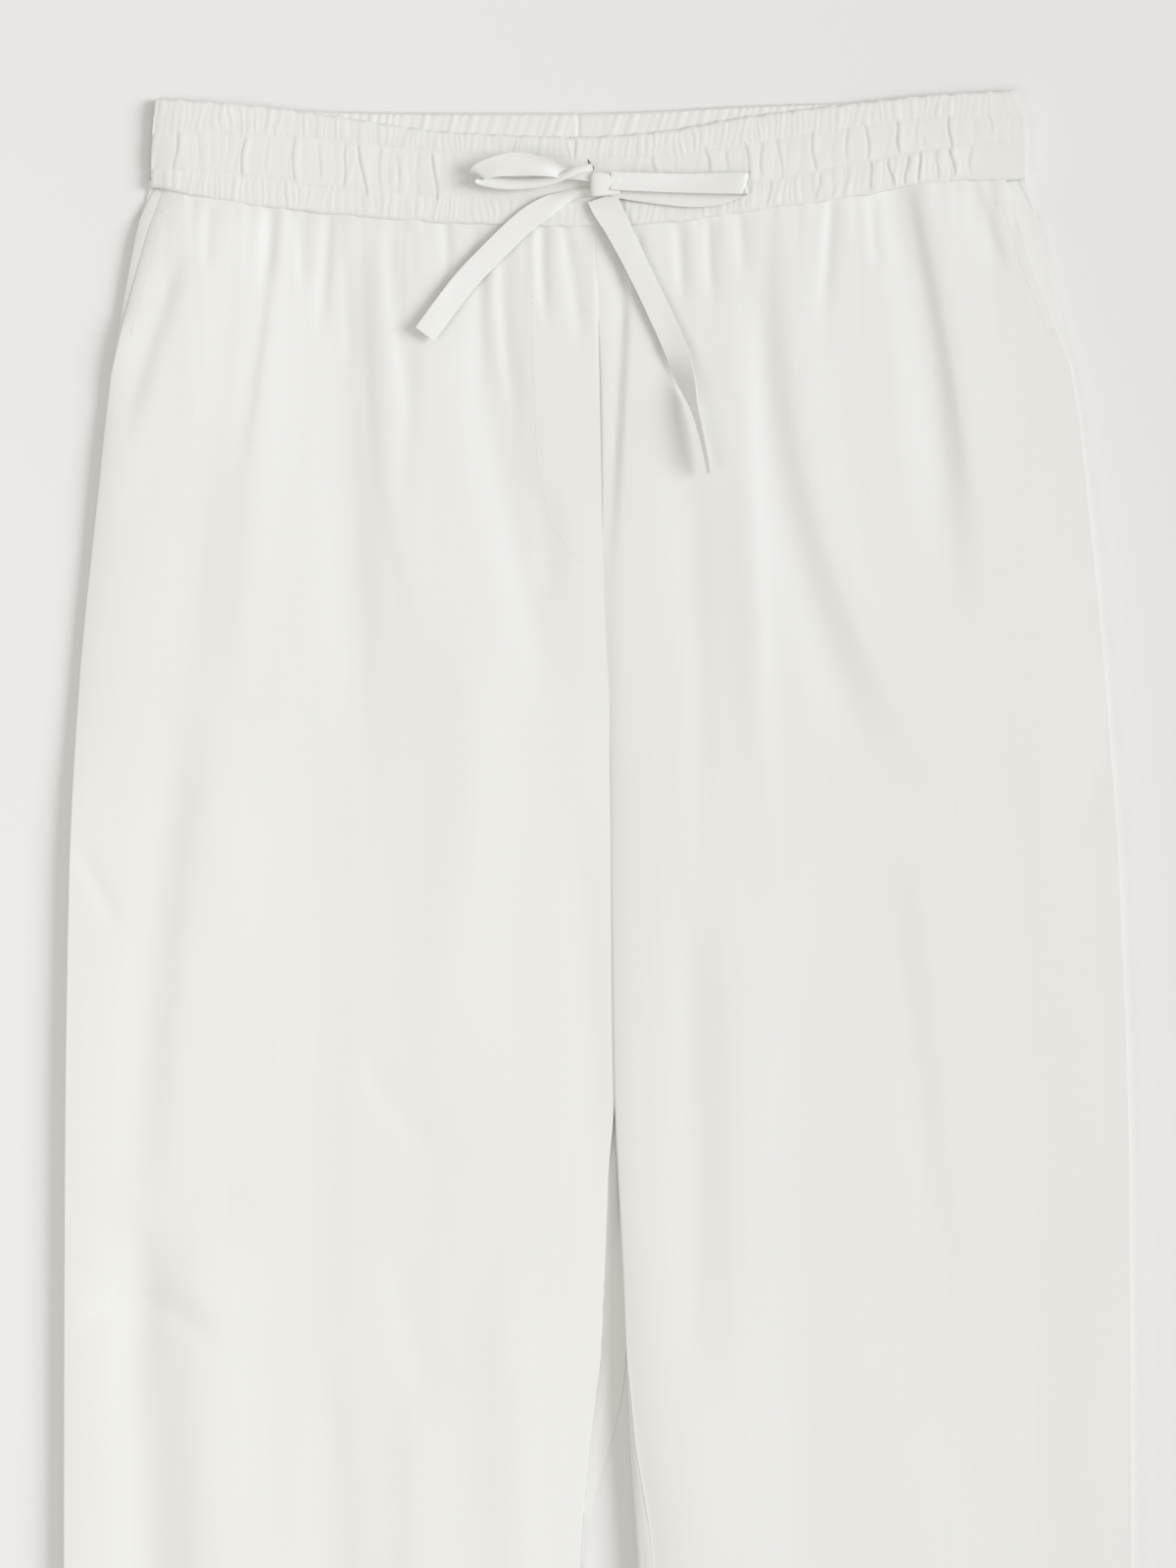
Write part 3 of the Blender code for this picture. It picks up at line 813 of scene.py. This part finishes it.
def make_front(side):
    node = "front_" + side
    x, down, from_low, from_high = panel_grid(node, "waistband_front", 150, 290)
    to_side, to_inner = (from_low, from_high) if side == "left" else (from_high, from_low)
    height = front_height(x, down, to_side, to_inner, down[0][None, :], side)
    if side == "left":
        # as far as the legs touch, its inner edge runs in under the right front
        under_right = side_lines("front_right")[0](down) - x - to_inner + 0.8
        x = x + under_right * np.exp(-to_inner / 5.0) * short_of(down, 556.0, 60.0)
    front = cloth_piece(node, x, down, height, height - CLOTH, CLOTH_LINEN)
    return front


def back_height(x, down, to_low, to_high, side):
    """Height of a back's upper face; its edges are given as the low and the high x."""
    node = "back_" + side
    height = BACK_TOP + np.clip(fold_heights(FOLDS_BACK, x, down), 0.0, None)
    height += 0.4 * wrinkles(x, down, 31 if side == "left" else 32)
    edge = CLOTH + 0.05
    if side == "right":
        # the back comes round to the front where it shows beside the inseam
        beside = side_lines("front_right")[0](down) - x
        shows = past(down, INSEAM_SHOWS, 50.0)
        wide = side_lines("front_right")[0](down) - side_lines(node)[0](down)
        climb = FRONT_TOP + PUFF + inner_line(down, 0.0, side) - 0.1 - BACK_TOP
        climb = climb * (0.81 + 0.19 * smoothstep(1.0 - beside / (wide + 0.5)))
        height = height + climb * shows * past(beside, -9.0, 7.0)
        height = rolled(height, edge, to_low, 1.6, 4.0)
        return np.maximum(rolled(height, edge, to_high, 1.5, 40.0), edge)
    return np.maximum(rolled(rolled(height, edge, to_low, 3.0), edge, to_high, 3.0), edge)


def fill_gap(x, down, from_high, height):
    """Let the left back fill the narrow start of the gap between the legs."""
    bulge = past(down, 400.0, 60.0) * short_of(down, 590.0, 60.0)
    height = height + 2.2 * bulge * np.exp(-from_high / 12.0)
    wide = side_lines("front_right")[0](down) - side_lines("back_left")[1](down)
    reach = past(down, 400.0, 60.0) * short_of(down, 760.0, 150.0)
    x = x + reach * (wide + 1.5) * np.exp(-from_high / 6.0)
    # it thins out over the floor where it draws back from the other leg
    flat = past(down, 570.0, 50.0) * short_of(down, 820.0, 60.0)
    return x, height - flat * (height - 0.35) * np.exp(-((from_high / 5.0) ** 2))


def make_back(side):
    node = "back_" + side
    x, down, from_low, from_high = panel_grid(node, "waistband_back", 100, 200)
    height = back_height(x, down, from_low, from_high, side)
    if side == "left":
        x, height = fill_gap(x, down, from_high, height)
    under = np.maximum(height - CLOTH, 0.05)
    back = cloth_piece(node, x, down, height, under, CLOTH_LINEN)
    return back


def make_facing(side):
    node = "pocket_facing_" + side
    low, high = side_lines(node)
    top, _ = cross_lines(node)
    share = np.concatenate([(0.0, 0.0015, 0.006, 0.02), np.linspace(0.05, 1.0, 22)])
    share = share if side == "left" else 1.0 - share[::-1]
    lead = np.linspace(0.0, 1.0, 60)
    x_top = low(70.0) + share * (high(70.0) - low(70.0))
    start = top(x_top) - TUCK
    down = start[None, :] + lead[:, None] * (150.0 - start)[None, :]
    left, right = low(down), high(down)
    x = left + share[None, :] * (right - left)
    to_side = x - left if side == "left" else right - x
    height = rolled(facing_height(x, down, to_side, side), 1.2, to_side, 2.0, 40.0)
    facing = cloth_piece(node, x, down, height, height - CLOTH, CLOTH_LINEN)


# ---- waistband

def pleats(x, low, high, closest, widest, seed):
    """Round pleats of uneven heights, between narrow valleys at uneven places."""
    rng = random.Random(seed)
    places = [low - 6.0]
    while places[-1] < high + 6.0:
        places.append(places[-1] + rng.uniform(closest, widest))
    height = np.array([rng.uniform(0.25, 1.0) for _ in places])
    places = np.array(places)
    index = np.clip(np.searchsorted(places, x) - 1, 0, len(places) - 2)
    start, end = places[index], places[index + 1]
    share = np.clip((x - start) / (end - start), 0.0, 1.0)
    return height[index] * (4.0 * share * (1.0 - share)) ** 0.6


def crease_depth(x, share):
    """Depth of the listed creases at a place of the front waistband."""
    total = np.zeros_like(x)
    for values in CREASES:
        crease = dict(zip(CREASE_COLUMNS, values))
        length = crease["share_end"] - crease["share_start"]
        along = (share - crease["share_start"]) / length
        centre = crease["x_start"] + along * (crease["x_end"] - crease["x_start"])
        centre = centre + 0.6 * np.sin(along * 5.0 + crease["x_start"])
        fade = smoothstep(along / 0.12 + 0.3) * smoothstep((1.0 - along) / 0.12 + 0.3)
        beside = x - centre
        ridge = np.exp(-beside.clip(0.0, None) / (3.0 * crease["reach"]))
        total -= 0.55 * crease["depth"] * fade * ridge * smoothstep(beside / 1.1 + 0.5)
        total += 0.25 * crease["depth"] * fade * np.exp(-(beside / 0.9) ** 2)
    return total


def stitch_share(x, row):
    """How far down a waistband, as a share, a row of its stitching runs at each x."""
    places = column(STITCH_ROWS, ROW_COLUMNS, "x")
    return np.interp(x, places, column(STITCH_ROWS, ROW_COLUMNS, row))


def band_height(x, share):
    """Height of the front waistband: three channels, their pleats and creases."""
    upper, lower = stitch_share(x, "upper"), stitch_share(x, "lower")
    in_top, in_bottom = share < upper, share > lower
    place = np.where(in_top, share / upper, (share - upper) / (lower - upper))
    place = np.where(in_bottom, (share - lower) / (1.0 - lower), place)
    swell = (4.0 * place * (1.0 - place)).clip(0.0, 1.0) ** 0.5
    slant = x + 3.5 * (share - 0.2) + 1.7 * wander(x + 60.0 * share, 9.0, 5)
    left, right = x.min(), x.max()
    top_pleats = pleats(slant, left, right, 1.8, 4.8, 41)
    low_pleats = pleats(slant - 2.0, left, right, 1.9, 5.4, 42)
    wide_pleats = pleats(slant + 3.0, left, right, 4.0, 11.0, 44)
    # the right end is nearly flat
    top_pleats *= 0.25 + 0.75 * short_of(x, right - 12.0, 8.0)
    low_pleats *= 0.08 + 0.92 * short_of(x, right - 27.0, 8.0)
    pleat = np.where(in_top, top_pleats, np.where(in_bottom, low_pleats, 0.7 * wide_pleats))
    pleat = pleat * (0.78 + 0.34 * wander(x + 70.0 * share, 5.0, 8))
    channel = np.where(in_top | in_bottom, 0.65, 0.80)
    height = BAND_TOP - 1.2 + channel * swell + pleat * (0.45 + 0.55 * swell) * 0.42
    return height - crease_depth(x, share)


def band_grid(node, columns, rows):
    """x, share of the depth, down and depth over a waistband, and how far off its ends are."""
    top, bottom = cross_lines(node)
    left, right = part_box(node)[0][0] / MM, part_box(node)[1][0] / MM
    ends = np.array(EDGE_COLUMNS[:6])
    inside = np.linspace(left + 1.5, right - 1.5, columns - 2 * len(ends))
    x = np.concatenate([left + ends, inside, right - ends[::-1]])[None, :]
    x, share = np.broadcast_arrays(x, np.linspace(0.0, 1.0, rows)[:, None])
    depth = bottom(x) - top(x)
    return x, share, top(x) + share * depth, depth, x - left, right - x


def make_front_band():
    node = "waistband_front"
    x, share, down, depth, from_left, from_right = band_grid(node, 760, 46)
    down = down + 0.5 * wander(x, 5.0, 6) * share
    down = down + 0.4 * wander(x, 2.2, 7) * (1.0 - share) ** 3
    height = band_height(x, share)
    height = rolled(height, BAND_LOW + 1.6, share * depth, 1.4, 3.0)
    height = rolled(height, FRONT_TOP + 0.7, (1.0 - share) * depth, 1.2)
    height = height - 1.8 * np.exp(-from_left / 8.0)
    height = rolled(height, BACK_BAND_TOP - 0.6, from_left, 2.5, 12.0)
    height = rolled(height, BACK_BAND_TOP - 0.6, from_right, 2.0, 60.0)
    # its ends lean in towards the top, the right one more
    squeeze = np.where(x < 0.0, 1.0, -6.0) * (1.0 - smoothstep(share * depth / 22.0))
    x = x + squeeze * past(np.abs(x), 190.0, 38.0)
    under = np.minimum(height - 0.5, BAND_LOW + 0.1)
    band = cloth_piece(node, x, down, height, under, BAND_LINEN)
    return band


def make_back_band():
    node = "waistband_back"
    x, share, down, depth, from_left, from_right = band_grid(node, 620, 40)
    slant = x + 19.8 * share * (0.4 + 0.6 * past(x, -120.0, 90.0))
    pleat = pleats(slant, x.min(), x.max(), 3.0, 6.4, 43)
    # the pleats are weak in the middle, beside the centre back seam
    patch = past(np.abs(x + 3.0), 6.0, 3.0)
    seam = np.exp(-((x + 10.0) / 0.9) ** 2)
    height = BACK_BAND_TOP + 0.6 + 0.55 * pleat * (0.25 + 0.75 * patch) - 0.5 * seam
    height = rolled(height, 1.2, share * depth, 1.6)
    height = rolled(height, 0.9, (1.0 - share) * depth, 2.0)
    height = rolled(height, 1.4, from_left, 2.5, 12.0)
    height = rolled(height, 1.4, from_right, 2.0, 60.0)
    # its ends are drawn in behind the front waistband
    squeeze = np.where(x < 0.0, 3.0, -6.5) * (1.0 - smoothstep(share * depth / 22.0) * (x > 0.0))
    x = x + squeeze * past(np.abs(x), 190.0, 38.0)
    under = 0.10 + 0.35 * (1.0 - pleat.clip(0.0, 1.0))
    band = cloth_piece(node, x, down, height, under, BAND_LINEN)
    return band


# ---- knot

def make_knot():
    """The knot: a strip of tape drawn over the crossing and tucked in under it."""
    low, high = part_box("drawstring_knot")
    centre = 0.5 * (np.array(low) + np.array(high))
    reach = 0.5 * (np.array(high) - np.array(low))
    turn = np.linspace(0.0, 2.0 * math.pi, 49)[:-1]
    upper, lower = np.sin(turn).clip(0.0, None), np.sin(turn).clip(None, 0.0)
    rows = []
    for along in np.linspace(0.0, 1.0, 25):
        # a quick rise at the left end, a long slope down into the right loop
        rise = 0.3 + 0.7 * (1.0 - (1.0 - min(along / 0.3, 1.0)) ** 3) ** 0.5
        level = rise * (0.58 - 0.22 * past(along, 0.3, 0.7))
        breadth = (0.72 + 0.28 * rise) * (1.0 - 0.22 * along)
        x = centre[0] - reach[0] - 1.4 * MM + along * (2.0 * reach[0] + 6.4 * MM)
        x = x - 0.5 * MM * upper
        y = centre[1] + reach[1] * breadth * np.sign(np.cos(turn)) * np.abs(np.cos(turn)) ** 0.6
        z = centre[2] + reach[2] * (level * upper ** 0.5 - 0.8 * rise * (-lower) ** 0.6)
        rows.append(np.stack([x, y, z], axis=-1))
    grid = np.array(rows)
    count = len(turn)
    index = np.arange(grid.shape[0] * count).reshape(grid.shape[0], count)
    nxt = np.roll(index, -1, axis=1)
    faces = np.stack([index[:-1], nxt[:-1], nxt[1:], index[1:]], axis=-1).reshape(-1, 4).tolist()
    faces.append(index[0][::-1].tolist())
    faces.append(index[-1].tolist())
    points = grid.reshape(-1, 3)
    knot = make_object("drawstring_knot_tape", points, faces, TAPE_LINEN, sharp=180.0)
    stand_for(knot, "drawstring_knot")


# ---- stitching and small marks

def surface_of(pieces):
    """A search tree over the faces of some pieces."""
    points, faces = [], []
    for piece in pieces:
        start = len(points)
        points += [vertex.co for vertex in piece.data.vertices]
        faces += [[start + corner for corner in face.vertices] for face in piece.data.polygons]
    return BVHTree.FromPolygons(points, faces)


def landing(tree, x, down, sign):
    """Where a line straight down, or up with sign -1, meets the faces."""
    place = Vector((x * MM, (WAIST_Y - down) * MM, sign * 0.1))
    return tree.ray_cast(place, Vector((0.0, 0.0, -sign)))[0]


def stitch_points(line, pitch):
    """Places (x, down) and headings, a pitch apart, along a line of places."""
    line = np.array(line, float)
    lengths = np.concatenate([[0.0], np.cumsum(np.hypot(*np.diff(line, axis=0).T))])
    places = np.arange(0.5 * pitch, lengths[-1], pitch)
    before, after = places - 0.2, places + 0.2
    x, down = (np.interp(places, lengths, line[:, k]) for k in (0, 1))
    east, south = (
        np.interp(after, lengths, line[:, k]) - np.interp(before, lengths, line[:, k])
        for k in (0, 1)
    )
    return np.stack([x, down, np.arctan2(south, east)], axis=-1)


# One stitch: its corners as shares of its length along, its thickness across and
# its thickness up, then the corners of its faces.
STITCH_CORNERS = (
    (-0.5, 0, 0), (0, -0.5, 0.1), (0, 0, 0.5), (0, 0.5, 0.1), (0.5, 0, 0), (0, 0, -0.5)
)
STITCH_FACES = (
    (0, 1, 2), (0, 2, 3), (4, 2, 1), (4, 3, 2), (0, 5, 1), (0, 3, 5), (4, 1, 5), (4, 5, 3)
)


def make_stitches(name, lines, pieces, facing_up=True, pitch=3.0, length=2.1, thick=0.3):
    """Rows of short stitches on the surface of some pieces."""
    tree = surface_of(pieces)
    sign = 1.0 if facing_up else -1.0
    points, faces = [], []
    for line in lines:
        for x, down, heading in stitch_points(line, pitch):
            hit = landing(tree, x, down, sign)
            if hit is None:
                continue
            start = len(points)
            for along, across, rise in STITCH_CORNERS:
                east = along * length * math.cos(heading) - across * thick * math.sin(heading)
                south = along * length * math.sin(heading) + across * thick * math.cos(heading)
                points.append((hit.x + east * MM, hit.y - south * MM,
                               hit.z + sign * rise * thick * MM))
            faces += [[start + corner for corner in face] for face in STITCH_FACES]
    stitches = make_object(name, np.array(points), faces, THREAD)
    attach(stitches, BODY)


def band_rows(node):
    """A waistband's two rows of channel stitching."""
    top, bottom = cross_lines(node)
    x = np.linspace(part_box(node)[0][0] / MM + 2.0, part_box(node)[1][0] / MM - 2.0, 200)
    lines = []
    for row in ("upper", "lower"):
        down = top(x) + stitch_share(x, row) * (bottom(x) - top(x))
        lines.append(np.stack([x, down], axis=-1))
    return lines


def pocket_line(side):
    """The stitching beside a pocket mouth."""
    low, high = side_lines("front_" + side)
    down = np.linspace(MOUTH_START, MOUTH_END, 40)
    x = low(down) + 5.5 if side == "left" else high(down) - 5.5
    return np.stack([x, down], axis=-1)


def hem_line(node):
    """The hem's stitching across a panel."""
    low, high = side_lines(node)
    down = HEM_DOWN - HEM_DEPTH
    return [(float(low(down)) + 2.0, down), (float(high(down)) - 2.0, down)]


def make_all_stitches(fronts, backs, front_band, back_band):
    make_stitches("stitches_waistband_front", band_rows("waistband_front"), [front_band])
    make_stitches("stitches_waistband_back", band_rows("waistband_back"), [back_band],
                  facing_up=False)
    make_stitches("stitches_pockets", [pocket_line("left"), pocket_line("right")], fronts)
    for half, pieces in (("front", fronts), ("back", backs)):
        hems = [hem_line(half + "_left"), hem_line(half + "_right")]
        make_stitches("stitches_hem_" + half + "s", hems, pieces, facing_up=half == "front")
    make_stitches("stitches_mock_fly", FLY_LINES, fronts)
    tacks = [((x - 1.6, down + 0.9 * i), (x + 1.6, down + 0.9 * i))
             for x, down in POCKET_TACKS for i in range(4)]
    make_stitches("stitches_bar_tacks", tacks, fronts, pitch=3.2, length=3.0, thick=0.4)


def make_eyelet(band):
    """The slit in the waistband that the drawstring comes out of, a dark sheet of painted shade for
    its hollow.
    """
    tree = surface_of([band])
    points = []
    for x, down in EYELET:
        hit = landing(tree, x, down, 1.0)
        points.append((hit.x, hit.y, hit.z + 0.15 * MM))
    middle = np.mean(points, axis=0) - (0.0, 0.0, 0.3 * MM)
    points = np.array(points + [tuple(middle)])
    last = len(points) - 1
    faces = [[i, (i + 1) % last, last] for i in range(last)]
    slit = make_object("eyelet_slit", points, faces, PAINTED_SHADE_LINEN)
    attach(slit, BODY)


# ---- the whole

make_camera()
make_light()
make_floor()
make_tape("drawstring_loop_left", LOOP_LEFT)
make_tape("drawstring_loop_right", LOOP_RIGHT)
make_tape("drawstring_tail_left", TAIL_LEFT)
make_tape("drawstring_tail_right", TAIL_RIGHT, tip=0.7)
make_knot()
back_pieces = [make_back("left"), make_back("right")]
front_pieces = [make_front("left"), make_front("right")]
make_facing("left")
make_facing("right")
back_band_piece = make_back_band()
front_band_piece = make_front_band()
make_all_stitches(front_pieces, back_pieces, front_band_piece, back_band_piece)
make_eyelet(front_band_piece)
